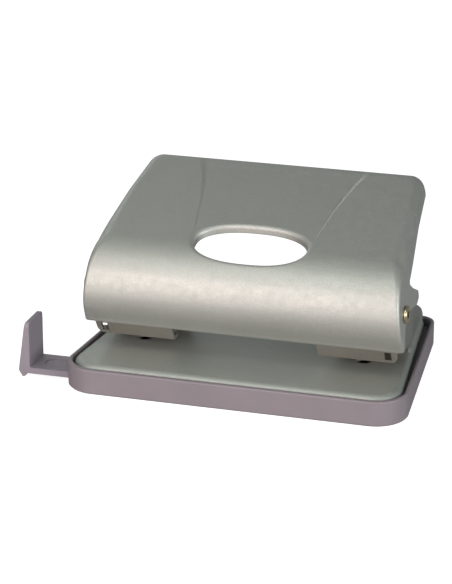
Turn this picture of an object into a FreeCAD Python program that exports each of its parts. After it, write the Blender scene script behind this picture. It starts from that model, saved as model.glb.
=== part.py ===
"""Two-hole desk paper punch, built as separate pieces.

Frame: millimetres, +Z up, +X to the right along the row of holes, +Y to the rear.
The origin is the centre of the chip tray's underside, on the desk.
The lever swings on two rivets near the front; its free end is at the rear.
"""
import FreeCAD
import Part
import math
import os

V = FreeCAD.Vector

# ---- driving dimensions -------------------------------------------------------------
HOLE_PITCH = 80.0           # standard spacing of two filing holes
HOLE_MARGIN = 12.0          # hole centre to paper edge
PIN_R = 2.75                # 5.5 mm holes
PUNCH_Y = -8.5              # row of holes
STOP_Y = PUNCH_Y + HOLE_MARGIN
SHEET = 1.2                 # steel of plate, ears and brackets
LEVER_SHEET = 1.0           # steel of the lever

# chip tray
TRAY_FRONT = -42.5
TRAY_REAR = 42.5
TRAY_HALF_FRONT = 61.6      # half width at the front edge line
TRAY_HALF_REAR = 54.9       # half width at the rear edge line
TRAY_H = 9.0
TRAY_WALL = 1.3
TRAY_FRONT_WALL = 2.2
TRAY_FLOOR = 1.4
TRAY_R_FRONT = 11.5
TRAY_R_REAR = 6.0

# base plate
PLATE_TOP = 9.8
PLATE_SKIRT_Z = 5.5
PLATE_FRONT = -39.9
PLATE_REAR = 40.3
PLATE_HALF_FRONT = 59.3     # half width at the front edge line
PLATE_HALF_REAR = 51.29     # half width at the rear edge line
PLATE_R_FRONT = 9.5
PLATE_R_REAR = 4.5
PLATE_EDGE_R = 2.4          # rolled top edge

# lever pivot and travel
PIVOT_Y = -20.5
PIVOT_Z = 33.0
LEVER_ANGLE = 32.08         # full stroke in degrees; takes the pins 6.9 mm down

# lever shell: side profile and plan
LEVER_SLOPE = 0.32          # rise of the top per mm towards the rear
LEVER_Z0 = 51.5             # height of the top at LEVER_Y0
LEVER_Y0 = -11.5
LEVER_LOW = 12.0            # the sides are drawn down to here before they are trimmed
LEVER_NOSE_END_Y = -24.7
LEVER_NOSE_END_Z = 20.4
LEVER_NOSE_Y = -29.1        # corner of the nose's lower bend
LEVER_NOSE_Z = 29.0
LEVER_NOSE_R = 15.8
LEVER_CREST_Y = -26.3       # corner of the bend between nose and top
LEVER_CREST_R = 19.9
LEVER_REAR = 40.6
LEVER_REAR_R = 8.7
LEVER_CORNER_R = 5.5        # upright rear corners
LEVER_EDGE_R = 1.6          # eased edge between top and sides
LEVER_HALF = 55.2           # half width of the top, straight part
LEVER_HALF_REAR = 49.7      # half width of the top at the rear line
LEVER_TAPER_Y = -11.4       # the sides taper behind this line
SPLAY = 0.085               # the sides lean out by this much per mm down

# ears
EAR_X = 54.1                # outer face beside the pivot
BOSS_R = 6.5

# pivot rivets
RIVET_R = 2.2
RIVET_BORE = 1.3
RIVET_HEAD_R = 3.1
RUN_CLEAR = 0.05            # running clearance of shafts

# brackets
SLOT_TOP = 14.0             # upper face of the paper slot
BRACKET_IN = 26.0           # inner end of the front web
BRACKET_OUT = 54.0          # outer end of the front web
BRACKET_BODY_IN = 28.0      # the rest of the bracket, narrower, clears the pivot
BRACKET_BODY_OUT = 51.2
BRACKET_TOP = 32.2
BRACKET_FRONT = -23.5
FOOT_RIVET_R = 1.5
FOOT_RIVET_Y = 10.0
FOOT_RIVET_SPREAD = 7.0     # to either side of the punch's middle

# pins
PIN_TIP_Z = 14.3
PIN_TOP_Z = 41.5
DOME_R = 5.0
GROOVE_Z = 29.9
GROOVE_H = 0.9
GROOVE_R = 2.1

# springs
WIRE_R = 0.4
COIL_R = 3.9
COIL_TURNS = 6.25

# paper guide
GUIDE_FRONT = -33.9
GUIDE_REAR = -20.1
GUIDE_LOW = 1.6
GUIDE_TOP = 3.8
GUIDE_STOP_X = -74.7        # face the paper's edge meets
GUIDE_END_X = 42.0
GUIDE_STOP_TOP = 20.6


# ---- helpers ------------------------------------------------------------------------
def save(name, shape):
    shape.exportStep("parts/" + name + ".step")


def box(x0, x1, y0, y1, z0, z1):
    return Part.makeBox(x1 - x0, y1 - y0, z1 - z0, V(x0, y0, z0))


def mirror_x(shape):
    return shape.mirror(V(0, 0, 0), V(1, 0, 0))


def rod_z(x, y, r, z0, z1):
    return Part.makeCylinder(r, z1 - z0, V(x, y, z0), V(0, 0, 1))


def rod_x(y, z, r, x0, x1):
    return Part.makeCylinder(r, x1 - x0, V(x0, y, z), V(1, 0, 0))


def rounded_face(points, radii):
    """A planar face with the given corners, each rounded by its radius."""
    count = len(points)
    starts = []
    edges = []
    for i in range(count):
        here = points[i]
        back = (points[i - 1] - here).normalize()
        ahead = (points[(i + 1) % count] - here).normalize()
        if radii[i] <= 0:
            starts.append((here, here))
            continue
        half = back.getAngle(ahead) / 2
        reach = radii[i] / math.tan(half)
        a = here + back * reach
        b = here + ahead * reach
        centre = here + (back + ahead).normalize() * (radii[i] / math.sin(half))
        middle = centre + (here - centre).normalize() * radii[i]
        edges.append((i, Part.Arc(a, middle, b).toShape()))
        starts.append((a, b))
    arcs = dict(edges)
    wire = []
    for i in range(count):
        if i in arcs:
            wire.append(arcs[i])
        leave = starts[i][1]
        arrive = starts[(i + 1) % count][0]
        if (arrive - leave).Length > 1e-6:
            wire.append(Part.makeLine(leave, arrive))
    return Part.Face(Part.Wire(wire))


def side_face(x, outline, radii):
    """A face in the plane of the given x, from (y, z) corners."""
    return rounded_face([V(x, y, z) for y, z in outline], radii)


def side_prism(x0, x1, outline, radii=None):
    if radii is None:
        radii = [0] * len(outline)
    return side_face(x0, outline, radii).extrude(V(x1 - x0, 0, 0))


def plan_prism(outline, radii, z0, z1):
    face = rounded_face([V(x, y, z0) for x, y in outline], radii)
    return face.extrude(V(0, 0, z1 - z0))


def trapezoid(front, rear, half_front, half_rear, inset):
    """Corners of a symmetric plan, drawn in by inset on every side."""
    slope = (half_rear - half_front) / (rear - front)
    y0 = front + inset
    y1 = rear - inset
    x0 = half_front + slope * inset - inset
    x1 = half_rear - slope * inset - inset
    return [(-x0, y0), (x0, y0), (x1, y1), (-x1, y1)]


# ---- chip tray ----------------------------------------------------------------------
def tray_half(y):
    share = (y - TRAY_FRONT) / (TRAY_REAR - TRAY_FRONT)
    return TRAY_HALF_FRONT + share * (TRAY_HALF_REAR - TRAY_HALF_FRONT)


def tray_plan(wall, front_wall):
    """Corners of the tray's plan inside walls of these thicknesses."""
    y0 = TRAY_FRONT + front_wall
    y1 = TRAY_REAR - wall
    x0 = tray_half(y0) - wall
    x1 = tray_half(y1) - wall
    return [(-x0, y0), (x0, y0), (x1, y1), (-x1, y1)]


def corner_radii(inset):
    front = TRAY_R_FRONT - inset
    rear = TRAY_R_REAR - inset
    return [front, front, rear, rear]


def chip_tray():
    rim_r = 0.6
    ledge = 3.4
    rail = 0.8
    rail_gap = 0.25
    lip_z = GUIDE_TOP + rail_gap
    outer = plan_prism(tray_plan(0, 0), corner_radii(0), 0, TRAY_H)
    foot_edges = [e for e in outer.Edges if e.BoundBox.ZMax < 0.01]
    outer = outer.makeChamfer(0.5, foot_edges)
    well = plan_prism(tray_plan(TRAY_WALL, TRAY_FRONT_WALL), corner_radii(TRAY_WALL),
                      PLATE_SKIRT_Z, TRAY_H + 1)
    pan = plan_prism(tray_plan(TRAY_WALL + ledge, TRAY_FRONT_WALL + ledge), corner_radii(4.0),
                     TRAY_FLOOR, PLATE_SKIRT_Z + 1)
    tray = outer.cut(well).cut(pan)
    rim_edges = [e for e in tray.Edges if e.BoundBox.ZMin > TRAY_H - 0.01]
    tray = tray.makeFillet(rim_r, rim_edges)
    # channel of the paper guide: two rails with lips over the ruler's edges
    x0 = 3.3 - tray_half(GUIDE_FRONT)
    x1 = -x0 - 12
    rail_low = TRAY_FLOOR - 0.4
    rail_high = lip_z + rail
    front_rail = GUIDE_FRONT - rail_gap - rail
    rear_rail = GUIDE_REAR + rail_gap
    rails = [box(x0, x1, front_rail, front_rail + rail, rail_low, rail_high),
             box(x0, x1, front_rail, front_rail + 2 * rail, lip_z, rail_high),
             box(x0, x1, rear_rail, rear_rail + rail, rail_low, rail_high),
             box(x0, x1, rear_rail - rail, rear_rail + rail, lip_z, rail_high)]
    tray = tray.fuse(rails)
    slot = box(-TRAY_HALF_FRONT, x1, front_rail + rail, rear_rail, TRAY_FLOOR, lip_z)
    return tray.cut(slot).removeSplitter()


# ---- base plate with ears -----------------------------------------------------------
def plate_shell():
    radii = [PLATE_R_FRONT, PLATE_R_FRONT, PLATE_R_REAR, PLATE_R_REAR]
    plan = trapezoid(PLATE_FRONT, PLATE_REAR, PLATE_HALF_FRONT, PLATE_HALF_REAR, 0)
    outer = plan_prism(plan, radii, PLATE_SKIRT_Z, PLATE_TOP)
    top_edges = [e for e in outer.Edges if e.BoundBox.ZMin > PLATE_TOP - 0.01]
    outer = outer.makeFillet(PLATE_EDGE_R, top_edges)
    plan = trapezoid(PLATE_FRONT, PLATE_REAR, PLATE_HALF_FRONT, PLATE_HALF_REAR, SHEET)
    inner = plan_prism(plan, [r - SHEET for r in radii], PLATE_SKIRT_Z - 2, PLATE_TOP - SHEET)
    top_edges = [e for e in inner.Edges if e.BoundBox.ZMin > PLATE_TOP - SHEET - 0.01]
    inner = inner.makeFillet(PLATE_EDGE_R - SHEET, top_edges)
    return outer.cut(inner)


def ear():
    """The right ear: a fin along the plate's side with a boss round the pivot."""
    bend_y = 3.0
    tail_y = PLATE_REAR - 1.2
    tail_x = EAR_X - 0.096 * (tail_y - bend_y)
    plan = [(EAR_X - SHEET, -45), (EAR_X, -45), (EAR_X, bend_y), (tail_x, tail_y),
            (tail_x - SHEET, tail_y), (EAR_X - SHEET, bend_y)]
    wall = plan_prism(plan, [0] * 6, 0, 60)
    outline = [(STOP_Y, PLATE_TOP - 0.6), (STOP_Y, SLOT_TOP), (-11.5, 14.6), (-17.0, 23.0),
               (PIVOT_Y + 2.0, PIVOT_Z - BOSS_R + 0.5), (PIVOT_Y + 2.0, PIVOT_Z + BOSS_R - 0.5),
               (4.5, 28.0), (24.5, 19.4), (33.5, 15.0), (tail_y, 11.0),
               (tail_y, PLATE_TOP - 0.6)]
    radii = [0, 1.5, 4, 12, 0, 0, 0, 20, 0, 0.8, 0]
    blade = side_prism(0, 60, outline, radii)
    boss = rod_x(PIVOT_Y, PIVOT_Z, BOSS_R, 0, 60)
    return wall.common(blade.fuse(boss))


def base_plate():
    right = ear()
    plate = plate_shell().fuse([right, mirror_x(right)])
    bore = rod_x(PIVOT_Y, PIVOT_Z, RIVET_R, -60, 60)
    plate = plate.cut(bore)
    for x in (-HOLE_PITCH / 2, HOLE_PITCH / 2):
        plate = plate.cut(rod_z(x, PUNCH_Y, PIN_R + RUN_CLEAR, 0, PLATE_TOP + 1))
    for x, y in rivet_places():
        plate = plate.cut(rod_z(x, y, FOOT_RIVET_R, 0, PLATE_TOP + 1))
    return plate.removeSplitter()


# ---- punch brackets and their rivets ------------------------------------------------
def rivet_places():
    inner = HOLE_PITCH / 2 - FOOT_RIVET_SPREAD
    outer = HOLE_PITCH / 2 + FOOT_RIVET_SPREAD
    return [(x, FOOT_RIVET_Y) for x in (-outer, -inner, inner, outer)]


def punch_bracket():
    """The right bracket: foot, rear web, top, slanting front web and lower flange."""
    t = SHEET
    knee_z = 21.0
    toe_y = -18.7
    slant = (toe_y - BRACKET_FRONT) / (knee_z - SLOT_TOP)
    reach = t * math.hypot(1, slant)
    outline = [(15.5, PLATE_TOP), (15.5, PLATE_TOP + t), (STOP_Y + t, PLATE_TOP + t),
               (STOP_Y + t, BRACKET_TOP), (BRACKET_FRONT, BRACKET_TOP), (BRACKET_FRONT, knee_z),
               (toe_y, SLOT_TOP), (STOP_Y - 1.5, SLOT_TOP), (STOP_Y - 1.5, SLOT_TOP + t),
               (toe_y + reach - slant * t, SLOT_TOP + t), (BRACKET_FRONT + reach, knee_z + 0.3),
               (BRACKET_FRONT + t, knee_z + 1.0), (BRACKET_FRONT + t, BRACKET_TOP - t),
               (STOP_Y, BRACKET_TOP - t), (STOP_Y, PLATE_TOP)]
    radii = [0, 0, 0.6, 1.6, 1.6, 2.0, 0.5, 0, 0, 0, 0, 0, 0.4, 0.4, 0]
    strip = side_prism(BRACKET_IN, BRACKET_OUT, outline, radii)
    # only the lower front keeps the full width, with a rounded outer corner; the rest clears the ear
    body = box(BRACKET_BODY_IN, BRACKET_BODY_OUT, -40, 40, 0, 60)
    apron = rounded_face([V(BRACKET_IN, -40, SLOT_TOP), V(BRACKET_OUT, -40, SLOT_TOP),
                          V(BRACKET_OUT, -40, 24.0), V(BRACKET_IN, -40, 24.0)], [0, 2.6, 0, 0])
    apron = apron.extrude(V(0, toe_y + 44.0, 0))
    strip = strip.common(body.fuse(apron))
    # small square window near the outer end of the front web
    window = box(49.7, 52.2, -40, toe_y + 1.0, SLOT_TOP + 1.4, SLOT_TOP + 5.0)
    strip = strip.cut(window)
    middle = HOLE_PITCH / 2
    strip = strip.cut(rod_z(middle, PUNCH_Y, PIN_R + RUN_CLEAR, SLOT_TOP - 1, BRACKET_TOP + 1))
    for x, y in rivet_places():
        strip = strip.cut(rod_z(x, y, FOOT_RIVET_R, PLATE_TOP - 1, PLATE_TOP + t + 1))
    return strip.removeSplitter()


def bracket_rivets():
    """Four flat-headed rivets through the bracket feet and the plate."""
    head_r = 2.6
    head_h = 0.7
    rivets = []
    for x, y in rivet_places():
        rivet = rod_z(x, y, FOOT_RIVET_R, PLATE_TOP - SHEET - head_h, PLATE_TOP + SHEET + head_h)
        for z in (PLATE_TOP + SHEET, PLATE_TOP - SHEET - head_h):
            rivet = rivet.fuse(rod_z(x, y, head_r, z, z + head_h))
        rivets.append(rivet.removeSplitter())
    return Part.makeCompound(rivets)


# ---- lever --------------------------------------------------------------------------
def top_z(y):
    return LEVER_Z0 + LEVER_SLOPE * (y - LEVER_Y0)


def lever_half(y, z):
    """Half width of the lever's outside at this place."""
    share = max(0.0, (y - LEVER_TAPER_Y) / (LEVER_REAR - LEVER_TAPER_Y))
    half = LEVER_HALF + share * (LEVER_HALF_REAR - LEVER_HALF)
    return half + SPLAY * (top_z(y) - z)


def lever_envelope(inset):
    """What lies between the lever's sides, as far in as inset."""
    wires = []
    low = 8.0
    high = 75.0
    side = inset * math.hypot(1, SPLAY)
    rear = LEVER_REAR - inset
    for z in (low, high):
        right = [(lever_half(y, z) - side, y) for y in (-36.0, LEVER_TAPER_Y, rear)]
        left = [(-x, y) for x, y in reversed(right)]
        points = [V(x, y, z) for x, y in right + left]
        wires.append(Part.makePolygon(points + points[:1]))
    solid = Part.makeLoft(wires, True, True)
    corners = [e for e in solid.Edges if e.BoundBox.ZLength > 60 and e.BoundBox.YMin > rear - 1]
    return solid.makeFillet(LEVER_CORNER_R - inset, corners)


def drawn_in(outline, inset):
    """The closed (y, z) outline, listed clockwise, with every side moved in by inset."""
    count = len(outline)
    moved = []
    for i in range(count):
        here = V(0, outline[i][0], outline[i][1])
        back = V(0, outline[i - 1][0], outline[i - 1][1])
        ahead = V(0, outline[(i + 1) % count][0], outline[(i + 1) % count][1])
        arrive = (here - back).normalize()
        leave = (ahead - here).normalize()
        turn = leave.cross(arrive).x
        moved.append(here + (leave - arrive) * (inset / turn))
    return [(p.y, p.z) for p in moved]


def lever_profile(inset):
    """Side profile of the lever's outside, drawn in by inset."""
    outline = [(LEVER_NOSE_END_Y, LEVER_LOW), (LEVER_NOSE_END_Y, LEVER_NOSE_END_Z - 0.5),
               (LEVER_NOSE_Y, LEVER_NOSE_Z), (LEVER_CREST_Y, top_z(LEVER_CREST_Y)),
               (LEVER_REAR, top_z(LEVER_REAR)), (LEVER_REAR, LEVER_LOW)]
    radii = [0, 0, LEVER_NOSE_R - inset, LEVER_CREST_R - inset, LEVER_REAR_R - inset, 0]
    return side_prism(-70, 70, drawn_in(outline, inset), radii)


def lever_solid(inset):
    """The lever's whole volume, drawn in by inset; the outside's edges between top and sides are eased."""
    solid = lever_profile(inset).common(lever_envelope(inset))
    if inset > 0:
        return solid
    shoulder = []
    for edge in solid.Edges:
        middle = edge.valueAt((edge.FirstParameter + edge.LastParameter) / 2)
        on_side = abs(abs(middle.x) - lever_half(middle.y, middle.z)) < 0.35
        upright = abs(middle.y - LEVER_TAPER_Y) < 0.1
        if on_side and not upright and middle.z > 22 and middle.y < 30:
            shoulder.append(edge)
    return solid.makeFillet(LEVER_EDGE_R, shoulder)


def ellipse_prism(a, b, y, z0, z1):
    curve = Part.Ellipse(V(0, y, z0), a, b).toShape()
    return Part.Face(Part.Wire(curve)).extrude(V(0, 0, z1 - z0))


def lever():
    t = LEVER_SHEET
    collar = 3.4
    oval_y = -13.1
    oval_a = 20.2
    oval_b = 8.7
    skin = lever_solid(0)
    shell = skin.cut(lever_solid(t))
    # middle panel pressed in between two creases that spread towards the rear
    step = 0.5
    panel = plan_prism([(-21.5, LEVER_Y0), (21.5, LEVER_Y0), (31.5, 28.5), (-31.5, 28.5)],
                       [0] * 4, 40, 70)
    sunk = lever_solid(step)
    under = lever_solid(t).cut(lever_solid(t + step)).common(panel)
    # turned-down collar of the grip hole; it ends in a plane below the top
    drop = (t + collar) * math.hypot(1, LEVER_SLOPE)
    above = side_prism(-70, 70, [(-60, top_z(-60) - drop), (60, top_z(60) - drop), (60, 90), (-60, 90)])
    ring = ellipse_prism(oval_a + t, oval_b + t, oval_y, 30, 70).common(above)
    shell = shell.fuse([skin.common(ring), under])
    shell = shell.cut(panel.common(skin.cut(sunk)))
    shell = shell.cut(ellipse_prism(oval_a, oval_b, oval_y, 30, 70))
    # lower edge of the flanges, running down into a notch above the hooked cheek
    below = [(60, 62.8), (15.0, 52.0), (-12.2, 41.1), (-5.5, 37.2), (5.6, 32.4), (6.8, 29.6),
             (0.3, 28.9), (-8.0, 31.0), (-14.2, 31.7), (-17.6, 29.2), (-21.2, 28.5), (-22.6, 25.0),
             (-23.6, 21.8), (-23.7, LEVER_NOSE_END_Z), (-40, LEVER_NOSE_END_Z), (-40, 0), (60, 0)]
    radii = [0, 20, 1.2, 10, 1.2, 1.2, 3, 6, 4, 2, 1.5, 4, 0, 0, 0, 0, 0]
    shell = shell.cut(side_prism(-80, 80, below, radii))
    shell = shell.cut(rod_x(PIVOT_Y, PIVOT_Z, RIVET_R + RUN_CLEAR, -80, 80))
    return shell.removeSplitter()


def press_plate():
    """A channel welded under the lever; its sloping floor pushes the right pin."""
    t = SHEET
    half = 7.0
    wing = 4.0
    alpha = math.radians(LEVER_ANGLE / 2)
    arm = PUNCH_Y - PIVOT_Y
    rise = PIN_TOP_Z - DOME_R - PIVOT_Z
    gap = 0.15
    reach = DOME_R + rise * math.cos(alpha) - arm * math.sin(alpha) + gap

    def floor_z(y):
        return PIVOT_Z + (reach + (y - PIVOT_Y) * math.sin(alpha)) / math.cos(alpha)

    def roof_z(y):
        return top_z(y) - LEVER_SHEET * math.hypot(1, LEVER_SLOPE)

    y0 = PUNCH_Y - 5.5
    y1 = PUNCH_Y + 5.0
    x = HOLE_PITCH / 2
    outline = [(y0, floor_z(y0)), (y1, floor_z(y1)), (y1, roof_z(y1)), (y0, roof_z(y0))]
    block = side_prism(x - half, x + half, outline)
    hollow = [(y0 - 5, floor_z(y0 - 5) + t), (y1 + 5, floor_z(y1 + 5) + t), (y1 + 5, 70), (y0 - 5, 70)]
    block = block.cut(side_prism(x - half + t, x + half - t, hollow))
    wings = [(y0, roof_z(y0)), (y1, roof_z(y1)), (y1, roof_z(y1) - t), (y0, roof_z(y0) - t)]
    for side in (-1, 1):
        edge = x + side * half
        block = block.fuse(side_prism(min(edge, edge + side * wing), max(edge, edge + side * wing), wings))
    return block.removeSplitter()


# ---- pivots -------------------------------------------------------------------------
def cheek_inner_x():
    return lever_half(PIVOT_Y, PIVOT_Z) - LEVER_SHEET * math.hypot(1, SPLAY)


def pivot_rivet():
    """The right hollow rivet: a rolled head outside the cheek, a flared end inside the ear."""
    head_h = 0.85
    head_x = lever_half(PIVOT_Y, PIVOT_Z - RIVET_HEAD_R) + 0.05
    inner_x = EAR_X - SHEET
    tube = rod_x(PIVOT_Y, PIVOT_Z, RIVET_R, inner_x - head_h, head_x + head_h)
    head = rod_x(PIVOT_Y, PIVOT_Z, RIVET_HEAD_R, head_x, head_x + head_h)
    rim = [e for e in head.Edges if e.BoundBox.XMin > head_x + head_h - 0.01]
    head = head.makeFillet(0.5, rim)
    flare = rod_x(PIVOT_Y, PIVOT_Z, RIVET_HEAD_R, inner_x - head_h, inner_x)
    rivet = tube.fuse([head, flare])
    return rivet.cut(rod_x(PIVOT_Y, PIVOT_Z, RIVET_BORE, 40, 70)).removeSplitter()


def pivot_washer():
    outer_x = cheek_inner_x() - SPLAY * RIVET_HEAD_R - 0.03
    disc = rod_x(PIVOT_Y, PIVOT_Z, RIVET_HEAD_R, EAR_X, outer_x)
    return disc.cut(rod_x(PIVOT_Y, PIVOT_Z, RIVET_R + RUN_CLEAR, 40, 70))


# ---- punch pins, clips, washers and springs -----------------------------------------
def punch_pin():
    """The right pin: domed top, clip groove, hollow-ground cutting end."""
    x = HOLE_PITCH / 2
    pin = rod_z(x, PUNCH_Y, PIN_R, PIN_TIP_Z, PIN_TOP_Z)
    dome = Part.makeSphere(DOME_R, V(x, PUNCH_Y, PIN_TOP_Z - DOME_R))
    lower = box(x - 6, x + 6, PUNCH_Y - 6, PUNCH_Y + 6, 0, PIN_TOP_Z - DOME_R)
    pin = pin.common(dome.fuse(lower))
    # two slanting cuts leave two cutting points at the front and the rear
    notch = 1.6
    tip = PIN_TIP_Z
    vee = side_prism(x - 6, x + 6, [(PUNCH_Y - PIN_R, tip - 0.01), (PUNCH_Y, tip + notch),
                                    (PUNCH_Y + PIN_R, tip - 0.01)])
    pin = pin.cut(vee)
    collar = rod_z(x, PUNCH_Y, PIN_R + 1, GROOVE_Z, GROOVE_Z + GROOVE_H)
    return pin.cut(collar.cut(rod_z(x, PUNCH_Y, GROOVE_R, 0, 60)))


def pin_clip():
    """The right retaining clip: a ring with a mouth towards the front."""
    x = HOLE_PITCH / 2
    z0 = GROOVE_Z + 0.05
    ring = rod_z(x, PUNCH_Y, 4.4, z0, z0 + 0.8).cut(rod_z(x, PUNCH_Y, GROOVE_R, 0, 60))
    return ring.cut(box(x - 1.5, x + 1.5, PUNCH_Y - 6, PUNCH_Y, z0 - 1, z0 + 2))


def spring_washer():
    x = HOLE_PITCH / 2
    z1 = GROOVE_Z
    return rod_z(x, PUNCH_Y, 4.6, z1 - 0.8, z1).cut(rod_z(x, PUNCH_Y, PIN_R + 0.1, 0, 60))


def return_spring():
    """The right return spring: round wire in an open helix."""
    x = HOLE_PITCH / 2
    z0 = SLOT_TOP + SHEET + WIRE_R
    z1 = GROOVE_Z - 0.8 - WIRE_R
    pitch = (z1 - z0) / COIL_TURNS
    path = Part.makeHelix(pitch, z1 - z0, COIL_R)
    wire = Part.Wire(Part.makeCircle(WIRE_R, V(COIL_R, 0, 0), V(0, 1, 0)))
    coil = Part.Wire(path.Edges).makePipeShell([wire], True, True)
    return coil.translate(V(x, PUNCH_Y, z0))


# ---- paper guide --------------------------------------------------------------------
def paper_guide():
    """A flat ruler under the plate with an upright stop at its outer end."""
    lean = 2.6
    top_t = 1.6
    foot_x = GUIDE_STOP_X - top_t - lean
    ruler = box(GUIDE_STOP_X - 1, GUIDE_END_X, GUIDE_FRONT, GUIDE_REAR, GUIDE_LOW, GUIDE_TOP)
    outline = [(GUIDE_STOP_X, GUIDE_LOW), (GUIDE_STOP_X, GUIDE_STOP_TOP),
               (GUIDE_STOP_X - top_t, GUIDE_STOP_TOP), (foot_x, 2.6), (foot_x + 1.3, 0.3),
               (foot_x + 2.2, 0.3), (foot_x + 2.6, GUIDE_LOW)]
    face = rounded_face([V(x, GUIDE_FRONT, z) for x, z in outline], [0, 0.5, 0.6, 0.6, 0.3, 0.3, 0])
    stop = face.extrude(V(0, GUIDE_REAR - GUIDE_FRONT, 0))
    arch = [(GUIDE_FRONT, 0), (GUIDE_FRONT, GUIDE_STOP_TOP), (GUIDE_REAR, GUIDE_STOP_TOP), (GUIDE_REAR, 0)]
    stop = stop.common(side_prism(-90, -60, arch, [0, 2.0, 2.0, 0]))
    guide = ruler.fuse(stop)
    # shallow finger mark pressed into the ruler beside the stop
    middle = (GUIDE_FRONT + GUIDE_REAR) / 2
    guide = guide.cut(rod_z(GUIDE_STOP_X + 7.5, middle, 4.2, GUIDE_TOP - 0.35, GUIDE_TOP + 1))
    return guide.removeSplitter()


# ---- write the pieces ---------------------------------------------------------------
os.makedirs("parts", exist_ok=True)
save("chip_tray", chip_tray())
save("base_plate", base_plate())
save("handle", lever())
save("paper_guide", paper_guide())
save("bracket_rivets", bracket_rivets())
PAIRS = {"punch_bracket": punch_bracket, "press_plate": press_plate, "pivot_rivet": pivot_rivet,
         "pivot_washer": pivot_washer, "punch_pin": punch_pin, "pin_clip": pin_clip,
         "spring_washer": spring_washer, "return_spring": return_spring}
for piece, build in PAIRS.items():
    right_hand = build()
    save(piece + "_right", right_hand)
    save(piece + "_left", mirror_x(right_hand))
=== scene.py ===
"""Looks of the two-hole desk paper punch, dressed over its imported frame.

Shapes are worked out in millimetres and turned into metres when a mesh is made.
"""
import math

import bmesh
import bpy
import numpy as np
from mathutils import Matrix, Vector
from mathutils.geometry import delaunay_2d_cdt

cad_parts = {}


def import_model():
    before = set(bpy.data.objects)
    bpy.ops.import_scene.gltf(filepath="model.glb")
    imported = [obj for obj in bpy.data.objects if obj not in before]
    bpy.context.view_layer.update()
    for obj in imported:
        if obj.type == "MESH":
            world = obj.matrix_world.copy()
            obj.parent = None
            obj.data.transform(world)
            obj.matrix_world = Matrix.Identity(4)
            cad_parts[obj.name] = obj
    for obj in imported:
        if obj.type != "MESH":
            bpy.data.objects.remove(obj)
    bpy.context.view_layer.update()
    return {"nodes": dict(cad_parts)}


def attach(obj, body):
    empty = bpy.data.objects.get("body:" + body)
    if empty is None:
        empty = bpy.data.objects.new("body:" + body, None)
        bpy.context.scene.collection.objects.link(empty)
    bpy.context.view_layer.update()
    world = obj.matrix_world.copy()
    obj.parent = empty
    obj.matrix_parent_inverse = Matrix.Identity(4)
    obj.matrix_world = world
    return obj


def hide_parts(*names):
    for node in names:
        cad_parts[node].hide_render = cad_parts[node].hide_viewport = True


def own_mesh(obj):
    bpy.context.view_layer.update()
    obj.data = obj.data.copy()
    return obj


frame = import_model()
NODES = frame["nodes"]
MM = 0.001


# ---- colours and materials ----------------------------------------------------------
def srgb(r, g, b):
    """Linear colour of an 8-bit screen colour."""
    out = []
    for v in (r, g, b):
        c = v / 255
        out.append(c / 12.92 if c <= 0.04045 else ((c + 0.055) / 1.055) ** 2.4)
    return (*out, 1.0)


class Tree:
    """A small helper round a material's node tree."""

    def __init__(self, name):
        self.mat = bpy.data.materials.new(name)
        self.mat.use_nodes = True
        self.nodes = self.mat.node_tree.nodes
        self.links = self.mat.node_tree.links
        self.nodes.clear()
        self.out = self.add("ShaderNodeOutputMaterial")
        self.coord = self.add("ShaderNodeTexCoord").outputs["Object"]

    def add(self, kind):
        return self.nodes.new(kind)

    def link(self, a, b):
        self.links.new(a, b)

    def shader(self, color, metallic, rough, **extra):
        """The surface's own shader; further sockets are set by their names with _ for a space."""
        node = self.add("ShaderNodeBsdfPrincipled")
        node.inputs["Base Color"].default_value = color
        node.inputs["Metallic"].default_value = metallic
        node.inputs["Roughness"].default_value = rough
        for key, value in extra.items():
            node.inputs[key.replace("_", " ")].default_value = value
        self.link(node.outputs[0], self.out.inputs["Surface"])
        return node

    def noise(self, scale, detail=2.0, rough=0.5, stretch=None):
        """Noise over the object's own coordinates, with about scale grains to the metre."""
        node = self.add("ShaderNodeTexNoise")
        node.inputs["Scale"].default_value = scale
        node.inputs["Detail"].default_value = detail
        node.inputs["Roughness"].default_value = rough
        source = self.coord
        if stretch:
            mapping = self.add("ShaderNodeMapping")
            mapping.inputs["Scale"].default_value = stretch
            self.link(self.coord, mapping.inputs["Vector"])
            source = mapping.outputs[0]
        self.link(source, node.inputs["Vector"])
        return node.outputs["Fac"]

    def remap(self, value, lo, hi, from_lo=0.3, from_hi=0.7):
        """The value carried over from its own range to lo and hi, and held within them."""
        node = self.add("ShaderNodeMapRange")
        node.inputs["From Min"].default_value = from_lo
        node.inputs["From Max"].default_value = from_hi
        node.inputs["To Min"].default_value = lo
        node.inputs["To Max"].default_value = hi
        self.link(value, node.inputs["Value"])
        return node.outputs["Result"]

    def mix(self, factor, a, b):
        """Colour a where the factor is 0 and b where it is 1."""
        node = self.add("ShaderNodeMix")
        node.data_type = "RGBA"
        for socket, value in ((node.inputs["Factor"], factor), (node.inputs[6], a), (node.inputs[7], b)):
            if isinstance(value, (tuple, float)):
                socket.default_value = value
            else:
                self.link(value, socket)
        return node.outputs[2]

    def bump(self, shader, height, strength, distance):
        """A fine relief on the shader's surface, its depth in metres."""
        node = self.add("ShaderNodeBump")
        node.inputs["Strength"].default_value = strength
        node.inputs["Distance"].default_value = distance
        self.link(height, node.inputs["Height"])
        self.link(node.outputs[0], shader.inputs["Normal"])

    def edges(self, lo, hi):
        """How sharply the surface turns outward here, from 0 to 1."""
        geometry = self.add("ShaderNodeNewGeometry")
        return self.remap(geometry.outputs["Pointiness"], 0.0, 1.0, lo, hi)


def shade(color, k):
    """The colour made k times as bright."""
    return (color[0] * k, color[1] * k, color[2] * k, 1.0)


PAINT_METALLIC = 0.82
RUBBED_PAINT = srgb(205, 203, 198)
# painted shade on the ears: the plate's paint is darkened where it stands above the plate's top, for the
# shade the lever's sides cast
EAR_FOOT_Z = 0.0105         # in metres, just above the plate's top: only its ears stand higher
EAR_FADE = 0.004            # the ears' painted shade sets in over this height
EAR_SHADE = 0.42


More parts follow.
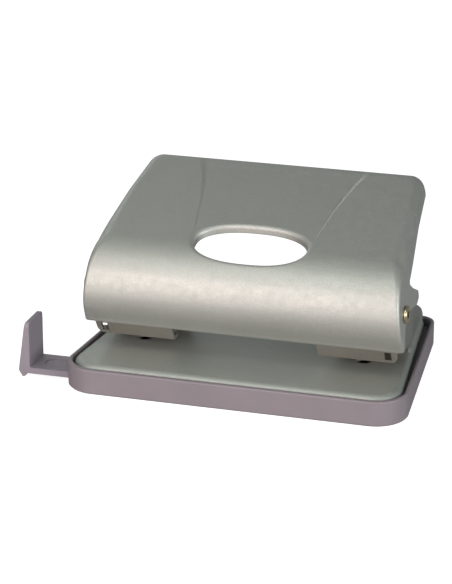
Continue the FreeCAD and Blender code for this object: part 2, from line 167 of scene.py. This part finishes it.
def paint(name, color, rough, flake, painted_ear_shade=False):
    """Metallic stoving paint: fine flakes, slight cloudiness, a clear top layer, rubbed edges.

    With painted_ear_shade, all that stands up from the plate is painted darker, as painted shade from the
    lever's sides.
    """
    t = Tree(name)
    s = t.shader(color, PAINT_METALLIC, rough, Coat_Weight=0.16, Coat_Roughness=0.16, Coat_IOR=1.45)
    fine = t.remap(t.noise(5200, 1.0), 0.0, 1.0)
    cloud = t.remap(t.noise(38, 3.0), 0.0, 1.0)
    flakes = t.mix(fine, shade(color, 1 - flake), shade(color, 1 + flake))
    clouded = t.mix(t.remap(cloud, 0.0, 0.12, 0.0, 1.0), flakes, shade(color, 0.72))
    # painted shade: all above the plate's top is darkened, standing in for the lever's shade on the ears
    if painted_ear_shade:
        axes = t.add("ShaderNodeSeparateXYZ")
        t.link(t.coord, axes.inputs[0])
        above = t.remap(axes.outputs["Z"], 0.0, 1.0, EAR_FOOT_Z, EAR_FOOT_Z + EAR_FADE)
        clouded = t.mix(above, clouded, shade(color, EAR_SHADE))
    rubbed = t.mix(t.remap(t.edges(0.53, 0.60), 0.0, 0.22, 0.0, 1.0), clouded, RUBBED_PAINT)
    t.link(rubbed, s.inputs["Base Color"])
    t.link(t.remap(t.noise(420, 3.0), rough - 0.03, rough + 0.05), s.inputs["Roughness"])
    t.bump(s, t.noise(2600, 2.0), 0.10, 0.00004)
    return t.mat


def plastic(name, color, rough):
    """Injection-moulded plastic with a fine spark-eroded texture and slightly paler edges."""
    t = Tree(name)
    s = t.shader(color, 0.0, rough, Specular_IOR_Level=0.5)
    cloud = t.remap(t.noise(55, 4.0), 0.0, 1.0)
    body = t.mix(cloud, shade(color, 0.94), shade(color, 1.06))
    worn = t.mix(t.remap(t.edges(0.52, 0.60), 0.0, 0.25, 0.0, 1.0), body, shade(color, 1.45))
    t.link(worn, s.inputs["Base Color"])
    t.link(t.remap(t.noise(900, 2.0), rough - 0.04, rough + 0.06), s.inputs["Roughness"])
    t.bump(s, t.noise(3200, 3.0, 0.6), 0.22, 0.00006)
    return t.mat


def metal(name, color, rough, grain=(1.0, 1.0, 1.0)):
    """Bare or plated metal with drawing marks, drawn out as grain says, and faint stains."""
    t = Tree(name)
    s = t.shader(color, 1.0, rough)
    lines = t.noise(900, 3.0, 0.6, grain)
    stains = t.remap(t.noise(140, 3.0), 0.0, 1.0)
    t.link(t.mix(stains, shade(color, 0.82), shade(color, 1.12)), s.inputs["Base Color"])
    t.link(t.remap(lines, rough - 0.08, rough + 0.10), s.inputs["Roughness"])
    t.bump(s, lines, 0.18, 0.00005)
    return t.mat


LEVER_PAINT = paint("lever_paint_look", srgb(176, 178, 171), 0.58, 0.16)
PLATE_PAINT = paint("plate_paint_look", srgb(164, 169, 162), 0.62, 0.10, painted_ear_shade=True)
# the brackets' paint: the same kind as the lever's, made darker and warmer
BRACKET_PAINT = paint("bracket_paint_look", srgb(156, 150, 140), 0.50, 0.08)
TRAY_PLASTIC = plastic("tray_plastic_look", srgb(123, 116, 120), 0.50)
GUIDE_PLASTIC = plastic("guide_plastic_look", srgb(124, 118, 125), 0.48)
ZINC = metal("zinc_look", srgb(178, 178, 176), 0.34)
HARD_STEEL = metal("hard_steel_look", srgb(168, 168, 170), 0.22, (1.0, 1.0, 0.05))
SPRING_STEEL = metal("spring_steel_look", srgb(132, 132, 134), 0.30)
BRASS = metal("brass_look", srgb(206, 193, 160), 0.30)

CAD_LOOKS = {
    "chip_tray": TRAY_PLASTIC, "base_plate": PLATE_PAINT, "handle": LEVER_PAINT, "paper_guide": GUIDE_PLASTIC,
    "bracket_rivets": ZINC, "punch_bracket": BRACKET_PAINT, "press_plate": ZINC, "pivot_rivet": BRASS,
    "pivot_washer": ZINC, "punch_pin": HARD_STEEL, "pin_clip": SPRING_STEEL, "spring_washer": ZINC,
    "return_spring": SPRING_STEEL,
}


def dress(obj, mat):
    """The object wears this material and no other."""
    obj.data.materials.clear()
    obj.data.materials.append(mat)


for node_name, obj in NODES.items():
    kind = node_name.removesuffix("_left").removesuffix("_right")
    dress(obj, CAD_LOOKS[kind])


# ---- lever: skin of the pressed shell -----------------------------------------------
LEVER_SLOPE = 0.32          # rise of the top per mm towards the rear
LEVER_Y0 = -11.5
LEVER_Z0 = 51.5             # height of the top at LEVER_Y0
LEVER_REAR = 40.6
REAR_EDGE_Z = 58.15         # lower edge of the rear flange
NOSE_END = (-24.7, 20.4)    # (y, z) of the nose's lower edge
NOSE_CORNER = (-29.1, 29.0)
CREST_Y = -26.3
PROFILE_R = (15.8, 19.9, 8.7)   # bends of nose, crest and rear
PROFILE_STEP = 0.25
OUTLINE_STEP = 0.45         # for the lower edge of the sides
SPLAY = 0.085               # the sides lean out by this much per mm down
TAPER_Y = -11.4             # the sides taper behind this line
TAPER_EASE = 3.0
HALF = 55.2                 # half width of the top, straight part
HALF_REAR = 49.7            # half width of the top at the rear line
SHEET_LEVER = 1.0
EDGE_BEVEL = 0.22
PIVOT = (-20.5, 33.0)
PIVOT_BORE_R = 2.25


def top_z(y):
    """Height of the lever's flat top, or of its plane where the profile bends away."""
    return LEVER_Z0 + LEVER_SLOPE * (y - LEVER_Y0)


def rounded_path(corners, radii, step):
    """An open path through the corners, each rounded by its radius, in steps of about the given length."""
    points = [np.array(corners[0], float)]
    for i in range(1, len(corners) - 1):
        here = np.array(corners[i], float)
        back = np.array(corners[i - 1], float) - here
        ahead = np.array(corners[i + 1], float) - here
        back /= np.linalg.norm(back)
        ahead /= np.linalg.norm(ahead)
        r = radii[i]
        if r <= 0:
            points.append(here)
            continue
        half = math.acos(np.clip(back @ ahead, -1, 1)) / 2
        a = here + back * (r / math.tan(half))
        middle = here + (back + ahead) / np.linalg.norm(back + ahead) * (r / math.sin(half))
        start = a - middle
        turn = math.pi - 2 * half
        sign = np.sign(back[0] * ahead[1] - back[1] * ahead[0]) * -1
        count = max(2, int(math.ceil(turn * r / step)))
        for k in range(count + 1):
            angle = sign * turn * k / count
            c, s = math.cos(angle), math.sin(angle)
            points.append(middle + np.array([c * start[0] - s * start[1], s * start[0] + c * start[1]]))
    points.append(np.array(corners[-1], float))
    dense = [points[0]]
    for p in points[1:]:
        gap = np.linalg.norm(p - dense[-1])
        if gap < 1e-6:
            continue
        count = max(1, int(math.ceil(gap / step)))
        base = dense[-1]
        for k in range(1, count + 1):
            dense.append(base + (p - base) * k / count)
    return np.array(dense)


def lever_profile():
    """Side profile of the lever's outside, from the nose's end over the top to the rear flange's edge."""
    corners = [NOSE_END, NOSE_CORNER, (CREST_Y, top_z(CREST_Y)), (LEVER_REAR, top_z(LEVER_REAR)),
               (LEVER_REAR, top_z(LEVER_REAR) - 14.0)]
    path = rounded_path(corners, [0, *PROFILE_R, 0], PROFILE_STEP)
    # the flange is cut off before the rear bend has quite turned upright
    flange = (path[:, 0] > LEVER_REAR - 5) & (path[:, 1] < REAR_EDGE_Z)
    last = int(flange.argmax())
    end_y = np.interp(-REAR_EDGE_Z, -path[last - 1:last + 1, 1], path[last - 1:last + 1, 0])
    return np.vstack([path[:last], [end_y, REAR_EDGE_Z]])


PROFILE = lever_profile()
PROFILE_T = np.concatenate([[0], np.cumsum(np.linalg.norm(np.diff(PROFILE, axis=0), axis=1))])
PROFILE_LENGTH = PROFILE_T[-1]


def profile_at(t):
    """The profile's (y, z) at the places t along it."""
    return np.stack([np.interp(t, PROFILE_T, PROFILE[:, 0]), np.interp(t, PROFILE_T, PROFILE[:, 1])], -1)


BLOCK = 3000                # points worked on at a time, which bounds the memory used


def profile_distance(y, z):
    """Signed distance outside the profile, its gradient, and the place along the profile."""
    a = PROFILE[:-1]
    d = PROFILE[1:] - a
    length2 = (d * d).sum(1)
    best = np.full(len(y), 1e9)
    grad = np.zeros((len(y), 2))
    place = np.zeros(len(y))
    p = np.stack([y, z], 1)
    for start in range(0, len(p), BLOCK):
        q = p[start:start + BLOCK]
        rel = q[:, None, :] - a[None]
        share = (rel * d[None]).sum(2) / length2[None]
        # the first and last runs go on beyond their ends
        low = np.zeros(len(a))
        high = np.ones(len(a))
        low[0] = -1e3
        high[-1] = 1e3
        share = np.clip(share, low[None], high[None])
        off = rel - share[..., None] * d[None]
        dist2 = (off * off).sum(2)
        k = dist2.argmin(1)
        rows = np.arange(len(q))
        normal = np.stack([-d[k, 1], d[k, 0]], 1) / np.sqrt(length2[k])[:, None]
        away = off[rows, k]
        dist = np.sqrt(dist2[rows, k])
        side = np.sign((away * normal).sum(1))
        side[side == 0] = 1
        unit = np.where(dist[:, None] > 1e-3, away / np.maximum(dist, 1e-9)[:, None] * side[:, None], normal)
        best[start:start + BLOCK] = dist * side
        grad[start:start + BLOCK] = unit
        place[start:start + BLOCK] = PROFILE_T[k] + share[rows, k] * np.sqrt(length2[k])
    return best, grad, place


def taper(y):
    """How far along the taper, eased at its start, and its slope per mm."""
    far = 20
    u = (y - TAPER_Y) / TAPER_EASE
    soft = np.where(u > far, u, np.log1p(np.exp(np.minimum(u, far)))) * TAPER_EASE
    slope = 1 / (1 + np.exp(-np.clip(u, -far, far)))
    span = LEVER_REAR - TAPER_Y
    return soft / span, slope / span


def lever_half(y, z):
    """Half width of the lever's outside at this place."""
    share, _ = taper(y)
    return HALF + share * (HALF_REAR - HALF) + SPLAY * (top_z(y) - z)


def side_distance(x, y, z):
    """Distance outside the splayed side, with its gradient."""
    _, slope = taper(y)
    gy = -(slope * (HALF_REAR - HALF) + SPLAY * LEVER_SLOPE)
    k = np.sqrt(1 + SPLAY ** 2)
    b = (np.abs(x) - lever_half(y, z)) / k
    return b, np.stack([np.sign(x), gy, np.full_like(y, SPLAY)], 1) / k


# measures that change from front to rear: places along Y, and the value at each
SHOULDER_R = ([-29, -24, -15, -5, 12, 27, 36], [1.0, 2.0, 5.5, 4.5, 3.2, 4.0, 4.6])
CREASE_X = ([-10.5, 0.3, 8.7, 17.2, 23.6, 30.2], [21.5, 23.3, 24.7, 26.8, 28.7, 31.5])
CREASE_WIDTH = ([-10.5, 1.2, 13.4, 23.6, 29.6], [0.35, 0.5, 0.8, 1.4, 2.4])
SINK_DEPTH = ([-10.5, -5.0, 7.2, 25.4, 29.0, 33.2], [0.0, 0.22, 0.40, 0.75, 0.70, 0.0])
SINK_POWER = 1.3
CREASE_FRONT = -8.5         # the mesh's edges follow the creases from here
CREASE_REAR = 32.8          # to here


def along(y, table):
    """A table's value at these places, or at its nearer end beyond it."""
    return np.interp(y, *table)


def sink(x, y):
    """Depth of the middle panel pressed in between the creases."""
    across = np.clip((along(y, CREASE_X) - np.abs(x)) / along(y, CREASE_WIDTH), 0, 1)
    return along(y, SINK_DEPTH) * across ** SINK_POWER


PROJECT_ROUNDS = 7


def project(points):
    """Moves points of the sharp-edged lever onto its rounded skin.

    A point lies a outside the profile and b outside the side. Near both, an edge of radius r joins them.
    """
    p = points.copy()
    for _ in range(PROJECT_ROUNDS):
        a, ga, _ = profile_distance(p[:, 1], p[:, 2])
        b, gb = side_distance(p[:, 0], p[:, 1], p[:, 2])
        ga = np.stack([np.zeros(len(p)), ga[:, 0], ga[:, 1]], 1)
        r = along(p[:, 1], SHOULDER_R)
        ra = np.maximum(a + r, 0)
        rb = np.maximum(b + r, 0)
        reach = np.sqrt(ra ** 2 + rb ** 2)
        both = (ra > 0) & (rb > 0)
        f = np.where(both, reach - r, np.maximum(a, b))
        safe = np.maximum(reach, 1e-9)[:, None]
        g_both = (ra[:, None] * ga + rb[:, None] * gb) / safe
        g_one = np.where((a > b)[:, None], ga, gb)
        g = np.where(both[:, None], g_both, g_one)
        f = f + sink(p[:, 0], p[:, 1]) * np.clip(g[:, 2], 0, 1)
        p -= (f / np.maximum((g * g).sum(1), 1e-6))[:, None] * g
    return p


# distances of the mesh's rows from the edge between top and side
EDGE_STEPS = [0.0, 0.22, 0.45, 0.7, 1.0, 1.3, 1.65, 2.05, 2.5, 3.0, 3.6, 4.3, 5.1, 6.0, 7.0, 8.0, 9.2]
# how far the mesh's free points stay away from lines that its edges follow
GRID_GAP = 0.75
RING_GAP = 0.45
OUTLINE_GAP = 0.35
BORE_GAP = 0.45


def spread(lo, hi, step):
    """Even places from lo to hi, about step apart."""
    count = max(1, int(round((hi - lo) / step)))
    return [lo + (hi - lo) * k / count for k in range(count + 1)]


def inside(polygon, points):
    """Which points lie inside a closed polygon."""
    x, y = points[:, 0], points[:, 1]
    hit = np.zeros(len(points), bool)
    a = polygon
    b = np.roll(polygon, -1, axis=0)
    for (x0, y0), (x1, y1) in zip(a, b):
        cross = (y0 > y) != (y1 > y)
        with np.errstate(divide="ignore", invalid="ignore"):
            hit ^= cross & (x < (x1 - x0) * (y - y0) / (y1 - y0) + x0)
    return hit


def near(points, line, reach):
    """Which points lie closer than reach to any point of a line."""
    close = np.zeros(len(points), bool)
    for start in range(0, len(points), BLOCK):
        block = points[start:start + BLOCK]
        gap = np.sqrt(((block[:, None, :] - line[None]) ** 2).sum(2)).min(1)
        close[start:start + BLOCK] = gap < reach
    return close


def triangulate(loops, lines, points, holes):
    """Constrained triangles over the loops' area; the holes' insides are left out."""
    coords = []
    edges = []
    for loop in loops:
        base = len(coords)
        coords += [tuple(p) for p in loop]
        edges += [(base + k, base + (k + 1) % len(loop)) for k in range(len(loop))]
    for line in lines:
        base = len(coords)
        coords += [tuple(p) for p in line]
        edges += [(base + k, base + k + 1) for k in range(len(line) - 1)]
    coords += [tuple(p) for p in points]
    verts, _, faces, _, _, _ = delaunay_2d_cdt([Vector(c) for c in coords], edges, [], 0, 1e-5)
    verts = np.array([tuple(v) for v in verts])
    faces = np.array([f for f in faces if len(f) == 3])
    middle = verts[faces].mean(1)
    side_a = verts[faces[:, 1]] - verts[faces[:, 0]]
    side_b = verts[faces[:, 2]] - verts[faces[:, 0]]
    # straight runs of the outline leave slivers with no area
    keep = np.abs(side_a[:, 0] * side_b[:, 1] - side_a[:, 1] * side_b[:, 0]) > 5e-5
    keep &= inside(np.array(loops[0]), middle)
    for hole in holes:
        keep &= ~inside(np.array(hole), middle)
    return verts, faces[keep]


# ---- the grip hole's rolled lip -----------------------------------------------------
OVAL_Y = -12.7
OVAL_A = 21.9
OVAL_B = 10.1
OVAL_POWER = 2.4        # a little fuller than an ellipse
OVAL_BOW = 1.2          # how far forward the two ends lie
ROLL_REAR = 1.9
ROLL_FRONT = 1.15
COLLAR_REAR = 1.7
COLLAR_FRONT = 0.25
LIP_COUNT = 128
ROLL_STEPS = 8
COLLAR_STEPS = 4


def front_share(s):
    """From the sine of the place on the oval: 0 at its rear and its ends, rising to 1 at its front."""
    begin = -0.15
    share = min(max((begin - s) / (1 + begin), 0.0), 1.0)
    return share * share * (3 - 2 * share)


def lip_rows():
    """Rings of points that roll over from the skin into the grip hole and down its collar."""
    nose = int(PROFILE[:, 0].argmin())
    crest = int(PROFILE[:, 1].argmax())
    upper = PROFILE[nose:crest]
    slope = np.gradient(upper, axis=0)
    rows = [[] for _ in range(ROLL_STEPS + COLLAR_STEPS + 1)]
    for i in range(LIP_COUNT):
        angle = 2 * math.pi * i / LIP_COUNT
        c, s = math.cos(angle), math.sin(angle)
        x = OVAL_A * math.copysign(abs(c) ** (2 / OVAL_POWER), c)
        across = OVAL_B * math.copysign(abs(s) ** (2 / OVAL_POWER), s)
        out = np.array([math.copysign(abs(x / OVAL_A) ** (OVAL_POWER - 1), c) / OVAL_A,
                        math.copysign(abs(across / OVAL_B) ** (OVAL_POWER - 1), s) / OVAL_B])
        out /= np.linalg.norm(out)
        y = OVAL_Y + across - OVAL_BOW * c * c
        z = np.interp(y, upper[:, 0], upper[:, 1])
        up = np.array([0.0, -np.interp(y, upper[:, 0], slope[:, 1]), np.interp(y, upper[:, 0], slope[:, 0])])
        up /= np.linalg.norm(up)
        share = front_share(s)
        roll = ROLL_REAR + (ROLL_FRONT - ROLL_REAR) * share
        collar = COLLAR_REAR + (COLLAR_FRONT - COLLAR_REAR) * share
        centre = np.array([x, y, z]) - roll * up
        inward = np.array([-out[0], -out[1], 0.0])
        turn = math.acos(np.clip(up @ inward, -1, 1))
        for k in range(ROLL_STEPS + 1):
            part = k / ROLL_STEPS
            direction = (math.sin((1 - part) * turn) * up + math.sin(part * turn) * inward) / math.sin(turn)
            rows[k].append(centre + direction * roll)
        base = rows[ROLL_STEPS][-1]
        for k in range(1, COLLAR_STEPS + 1):
            rows[ROLL_STEPS + k].append(base - np.array([0, 0, collar * k / COLLAR_STEPS]))
    return [np.array(row) for row in rows]


def to_domain(x, y, z):
    """Place on the unrolled skin, across and along the profile, of points of the lever."""
    _, _, t = profile_distance(y, z)
    return np.stack([x / lever_half(y, z) * HALF, t], 1)


def places_along():
    """Rows of the mesh along the profile: wider apart between the bends of nose and rear."""
    nose = 46
    rear = PROFILE_LENGTH - 34
    rows = spread(0, nose, 1.0) + spread(nose, rear, 1.5)[1:] + spread(rear, PROFILE_LENGTH, 0.9)[1:]
    return np.array(rows)


def places_across():
    """Columns of the mesh across the lever: finer towards its edges."""
    edge = [HALF - e for e in EDGE_STEPS]
    half = set([round(v, 4) for v in spread(0, HALF - EDGE_STEPS[-1], 1.5)] + edge)
    return np.array(sorted(set([-v for v in half]) | half))


def border(row_places, column_places):
    """The unrolled skin's rectangle."""
    loop = [(s, 0.0) for s in column_places]
    loop += [(HALF, t) for t in row_places[1:]]
    loop += [(s, PROFILE_LENGTH) for s in column_places[::-1][1:]]
    loop += [(-HALF, t) for t in row_places[::-1][1:-1]]
    return loop


def crease_lines():
    """Lines along both creases: outside the crest, on it, two on the slope, at its foot and past it."""
    lines = []
    y = np.array(spread(CREASE_FRONT, CREASE_REAR, 0.8))
    for share in (-0.25, 0.0, 0.3, 0.65, 1.0, 1.3):
        x = along(y, CREASE_X) - share * along(y, CREASE_WIDTH)
        line = to_domain(x, y, top_z(y))
        for side in (-1, 1):
            lines.append(line * np.array([side, 1]))
    return lines


def rings_round(hole):
    """Rings that grow outward from the grip hole."""
    away = hole - hole.mean(0)
    away /= np.linalg.norm(away, axis=1)[:, None]
    return [hole + away * grow for grow in (0.5, 1.1, 1.9, 2.9, 4.1)]


def top_skin(row_places, lip_row):
    """The skin round the grip hole, and the skin's own points at the hole's edge."""
    column_places = places_across()
    hole = to_domain(*lip_row.T)
    lines = crease_lines()
    rings = rings_round(hole)
    grid = np.array([(s, t) for t in row_places[1:-1] for s in column_places[1:-1]])
    blocked = inside(rings[-1], grid)
    blocked |= near(grid, np.concatenate(lines + [rings[-1]]), GRID_GAP)
    rings = np.concatenate(rings)
    rings = rings[~near(rings, np.concatenate(lines), RING_GAP)]
    points = np.concatenate([grid[~blocked], rings])
    verts, faces = triangulate([border(row_places, column_places), hole], lines, points, [hole])
    yz = profile_at(verts[:, 1])
    x = verts[:, 0] / HALF * lever_half(yz[:, 0], yz[:, 1])
    skin = project(np.stack([x, yz[:, 0], yz[:, 1]], 1))
    return skin, faces, skin[near_index(verts, hole)]


def lip_skin(lip, rim):
    """The rolled lip and its collar; its first row takes the skin's own points."""
    rows = [rim]
    for k, row in enumerate(lip[1:], 1):
        fade = max(0.0, 1 - k / ROLL_STEPS)
        rows.append(row + (rim - lip[0]) * fade)
    faces = []
    place = np.arange(LIP_COUNT)
    for k in range(len(rows) - 1):
        a = k * LIP_COUNT + place
        b = k * LIP_COUNT + (place + 1) % LIP_COUNT
        c = b + LIP_COUNT
        d = a + LIP_COUNT
        faces.append(np.stack([a, b, c], 1))
        faces.append(np.stack([a, c, d], 1))
    return np.concatenate(rows), np.concatenate(faces)


def handle_skin():
    """Vertices and triangles of the lever's outer skin."""
    lip = lip_rows()
    row_places = places_along()
    skin, faces, rim = top_skin(row_places, lip[0])
    pieces = [(skin, faces), lip_skin(lip, rim)]
    for side in (1, -1):
        cheek, cheek_faces = cheek_skin(row_places)
        pieces.append((cheek * np.array([side, 1, 1]), cheek_faces))
    count = 0
    all_faces = []
    for verts, faces in pieces:
        all_faces.append(faces + count)
        count += len(verts)
    return np.concatenate([verts for verts, _ in pieces]), np.concatenate(all_faces)


def near_index(verts, wanted):
    """For each wanted point, the index of the vertex closest to it."""
    gap = ((wanted[:, None, :] - verts[None]) ** 2).sum(2)
    return gap.argmin(1)


def cheek_outline():
    """Lower edge of the right side, from the rear flange forward to the nose's end."""
    hook = [tuple(PROFILE[-1]), (15.0, 52.0), (-12.2, 41.1), (-5.5, 37.2), (5.6, 32.4), (6.8, 29.6),
            (0.3, 28.9), (-8.0, 31.0), (-14.2, 31.7), (-17.6, 29.2), (-21.2, 28.5), (-22.6, 25.0),
            (-23.6, 21.8), (-23.7, NOSE_END[1]), tuple(PROFILE[0])]
    radii = [0, 20, 1.2, 10, 1.2, 1.2, 3, 6, 4, 2, 1.5, 4, 0, 0, 0]
    return rounded_path(hook, radii, OUTLINE_STEP)


def cheek_skin(row_places):
    """The right side of the lever, with the pivot's bore."""
    top = profile_at(row_places)
    lower = cheek_outline()
    loop = np.concatenate([top, lower[1:-1]])
    bore = np.array([(PIVOT[0] + PIVOT_BORE_R * math.cos(a), PIVOT[1] + PIVOT_BORE_R * math.sin(a))
                     for a in np.linspace(0, 2 * math.pi, 33)[:-1]])
    mid = top[1:-1]
    run = profile_at(row_places[1:-1] + 0.01) - profile_at(row_places[1:-1] - 0.01)
    run /= np.linalg.norm(run, axis=1)[:, None]
    inward = np.stack([run[:, 1], -run[:, 0]], 1)
    layers = []
    for e in EDGE_STEPS[1:]:
        row = mid + inward * e
        a, _, _ = profile_distance(row[:, 0], row[:, 1])
        layers.append(row[np.abs(a + e) < 0.05 + 0.1 * e])
    ys, zs = np.meshgrid(spread(-30, 41, 1.3), spread(18, 70, 1.3))
    grid = np.stack([ys.ravel(), zs.ravel()], 1)
    a, _, _ = profile_distance(grid[:, 0], grid[:, 1])
    grid = grid[a < -EDGE_STEPS[-1] - 0.5]
    points = np.concatenate(layers + [grid])
    keep = inside(loop, points) & ~near(points, lower, OUTLINE_GAP)
    keep &= np.hypot(points[:, 0] - PIVOT[0], points[:, 1] - PIVOT[1]) > PIVOT_BORE_R + BORE_GAP
    verts, faces = triangulate([loop, bore], [], points[keep], [bore])
    skin = project(np.stack([lever_half(verts[:, 0], verts[:, 1]), verts[:, 0], verts[:, 1]], 1))
    return skin, faces


MERGE = 0.004               # points closer than this are one


def mesh_object(name, verts, faces):
    """A Blender object from millimetre vertices, its doubles merged and its normals turned outward."""
    mesh = bpy.data.meshes.new(name)
    mesh.from_pydata([tuple(v) for v in (np.asarray(verts) * MM).tolist()], [], [tuple(f) for f in faces])
    bm = bmesh.new()
    bm.from_mesh(mesh)
    bmesh.ops.remove_doubles(bm, verts=bm.verts, dist=MERGE * MM)
    bmesh.ops.dissolve_degenerate(bm, edges=bm.edges, dist=1e-7)
    bmesh.ops.recalc_face_normals(bm, faces=bm.faces)
    bm.to_mesh(mesh)
    bm.free()
    mesh.shade_smooth()
    obj = bpy.data.objects.new(name, mesh)
    bpy.context.scene.collection.objects.link(obj)
    return obj


def build_handle():
    """The pressed shell: its skin, given the sheet's thickness and eased edges."""
    verts, faces = handle_skin()
    obj = mesh_object("lever_shell", verts, faces)
    top = max(obj.data.polygons, key=lambda f: f.center.z)
    if top.normal.z < 0:
        obj.data.flip_normals()
    solid = obj.modifiers.new("sheet", "SOLIDIFY")
    solid.thickness = SHEET_LEVER * MM
    solid.offset = -1
    solid.use_even_offset = False
    bevel = obj.modifiers.new("edge", "BEVEL")
    bevel.width = EDGE_BEVEL * MM
    bevel.segments = 2
    bevel.limit_method = "ANGLE"
    bevel.angle_limit = math.radians(55)
    dress(obj, LEVER_PAINT)
    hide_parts("handle")
    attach(obj, "lever")


# ---- return springs -----------------------------------------------------------------
COIL_R = 3.9
COIL_WIRE_R = 0.4
COIL_TURNS = 6.25
COIL_LOW = 15.2             # lower end, on the bracket
COIL_HIGH = 29.1            # upper end, under the washer
COIL_PLACE = (40.0, -8.5)
COIL_STEPS = 170            # faces along the wire
COIL_AROUND = 12            # faces round it


def coil(sign):
    """Round wire in an open helix, on the side that sign says."""
    rise = COIL_HIGH - COIL_LOW - 2 * COIL_WIRE_R
    verts = []
    for k in range(COIL_STEPS + 1):
        turn = 2 * math.pi * COIL_TURNS * k / COIL_STEPS
        z = COIL_LOW + COIL_WIRE_R + rise * k / COIL_STEPS
        for j in range(COIL_AROUND):
            a = 2 * math.pi * j / COIL_AROUND
            r = COIL_R + COIL_WIRE_R * math.cos(a)
            x = COIL_PLACE[0] + r * math.cos(turn)
            verts.append((sign * x, COIL_PLACE[1] + r * math.sin(turn), z + COIL_WIRE_R * math.sin(a)))
    faces = []
    for k in range(COIL_STEPS):
        for j in range(COIL_AROUND):
            a = k * COIL_AROUND + j
            b = k * COIL_AROUND + (j + 1) % COIL_AROUND
            faces.append((a, b, b + COIL_AROUND, a + COIL_AROUND))
    faces.append(tuple(range(COIL_AROUND)))
    faces.append(tuple(range(COIL_STEPS * COIL_AROUND, (COIL_STEPS + 1) * COIL_AROUND)))
    return verts, faces


def build_spring(hand, sign):
    """A return spring, fixed to the frame at its rest length; the real one shortens as its pin goes down."""
    verts, faces = coil(sign)
    obj = mesh_object("return_coil_" + hand, verts, faces)
    dress(obj, SPRING_STEEL)
    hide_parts("return_spring_" + hand)
    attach(obj, "frame")
    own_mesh(obj)


build_handle()
build_spring("right", 1)
build_spring("left", -1)

# ---- stage, light and camera --------------------------------------------------------
CAMERA_AT = (0.2113, -0.7622, 0.3220)
CAMERA_AZIMUTH = math.radians(16.376)
CAMERA_ELEVATION = math.radians(20.397)
CAMERA_LENS = 147.33


def camera():
    """A long lens, placed to the right of the front and above."""
    data = bpy.data.cameras.new("camera")
    data.sensor_fit = "VERTICAL"
    data.sensor_height = 36
    data.lens = CAMERA_LENS
    data.clip_start = 0.01
    data.clip_end = 20
    obj = bpy.data.objects.new("camera", data)
    obj.location = CAMERA_AT
    obj.rotation_euler = (math.pi / 2 - CAMERA_ELEVATION, 0, CAMERA_AZIMUTH)
    bpy.context.scene.collection.objects.link(obj)
    bpy.context.scene.camera = obj


def area(name, place, aim, width, height, power, color):
    """A soft panel lamp at a place, turned towards aim."""
    data = bpy.data.lights.new(name, "AREA")
    data.shape = "RECTANGLE"
    data.size = width
    data.size_y = height
    data.energy = power
    data.color = color
    obj = bpy.data.objects.new(name, data)
    obj.location = place
    obj.rotation_euler = (Vector(aim) - Vector(place)).to_track_quat("-Z", "Y").to_euler()
    bpy.context.scene.collection.objects.link(obj)


FLOOR_HALF = 3.0
FLOOR_Z = -0.0001
FLOOR_COLOR = (0.46, 0.46, 0.46, 1)
FLOOR_GLOW = 0.88           # the camera sees the floor paler than the lamps make it
WORLD_COLOR = (0.93, 0.97, 1.0, 1)
WORLD_STRENGTH = 0.21
WHITE = (1, 1, 1, 1)


def floor():
    """A plain pale floor, which keeps the part's shadow."""
    mesh = bpy.data.meshes.new("floor")
    corners = [(-1, -1), (1, -1), (1, 1), (-1, 1)]
    mesh.from_pydata([(x * FLOOR_HALF, y * FLOOR_HALF, FLOOR_Z) for x, y in corners], [], [(0, 1, 2, 3)])
    obj = bpy.data.objects.new("floor", mesh)
    bpy.context.scene.collection.objects.link(obj)
    t = Tree("floor_look")
    diffuse = t.add("ShaderNodeBsdfDiffuse")
    diffuse.inputs["Color"].default_value = FLOOR_COLOR
    glow = t.add("ShaderNodeEmission")
    glow.inputs["Color"].default_value = WHITE
    path = t.add("ShaderNodeLightPath")
    seen = t.remap(path.outputs["Is Camera Ray"], 0.0, FLOOR_GLOW, 0.0, 1.0)
    t.link(seen, glow.inputs["Strength"])
    both = t.add("ShaderNodeAddShader")
    t.link(diffuse.outputs[0], both.inputs[0])
    t.link(glow.outputs[0], both.inputs[1])
    t.link(both.outputs[0], t.out.inputs["Surface"])
    obj.data.materials.append(t.mat)


def world():
    """Even, weak light from all round, which the camera sees as white."""
    scene_world = bpy.data.worlds.new("studio")
    scene_world.use_nodes = True
    nodes = scene_world.node_tree.nodes
    links = scene_world.node_tree.links
    nodes.clear()
    out = nodes.new("ShaderNodeOutputWorld")
    plain = nodes.new("ShaderNodeBackground")
    plain.inputs["Color"].default_value = WORLD_COLOR
    plain.inputs["Strength"].default_value = WORLD_STRENGTH
    white = nodes.new("ShaderNodeBackground")
    white.inputs["Color"].default_value = WHITE
    white.inputs["Strength"].default_value = 1.0
    path = nodes.new("ShaderNodeLightPath")
    mix = nodes.new("ShaderNodeMixShader")
    links.new(path.outputs["Is Camera Ray"], mix.inputs[0])
    links.new(plain.outputs[0], mix.inputs[1])
    links.new(white.outputs[0], mix.inputs[2])
    links.new(mix.outputs[0], out.inputs["Surface"])
    bpy.context.scene.world = scene_world


camera()
floor()
world()
# low in front, for the broad light along the nose
area("key", (-0.13, -0.46, 0.165), (0, 0, 0.035), 0.44, 0.30, 2.10, (1.0, 0.87, 0.87))
# near and above, for the front of the lever's top
area("upper", (-0.03, -0.18, 0.28), (0, -0.01, 0.05), 0.22, 0.12, 0.24, (0.90, 1.0, 0.96))
# on the right, for the cheek and the tray's right side
area("side", (0.78, -0.43, 0.20), (0, 0, 0.03), 0.44, 0.36, 5.2, (0.97, 0.98, 1.0))
# far behind on the left, for the light lines along creases and shoulders
area("backdrop", (-0.80, 0.80, 0.62), (0, 0, 0.05), 1.0, 0.45, 1.9, (0.93, 1.0, 0.98))
bpy.context.scene.view_settings.view_transform = "Standard"
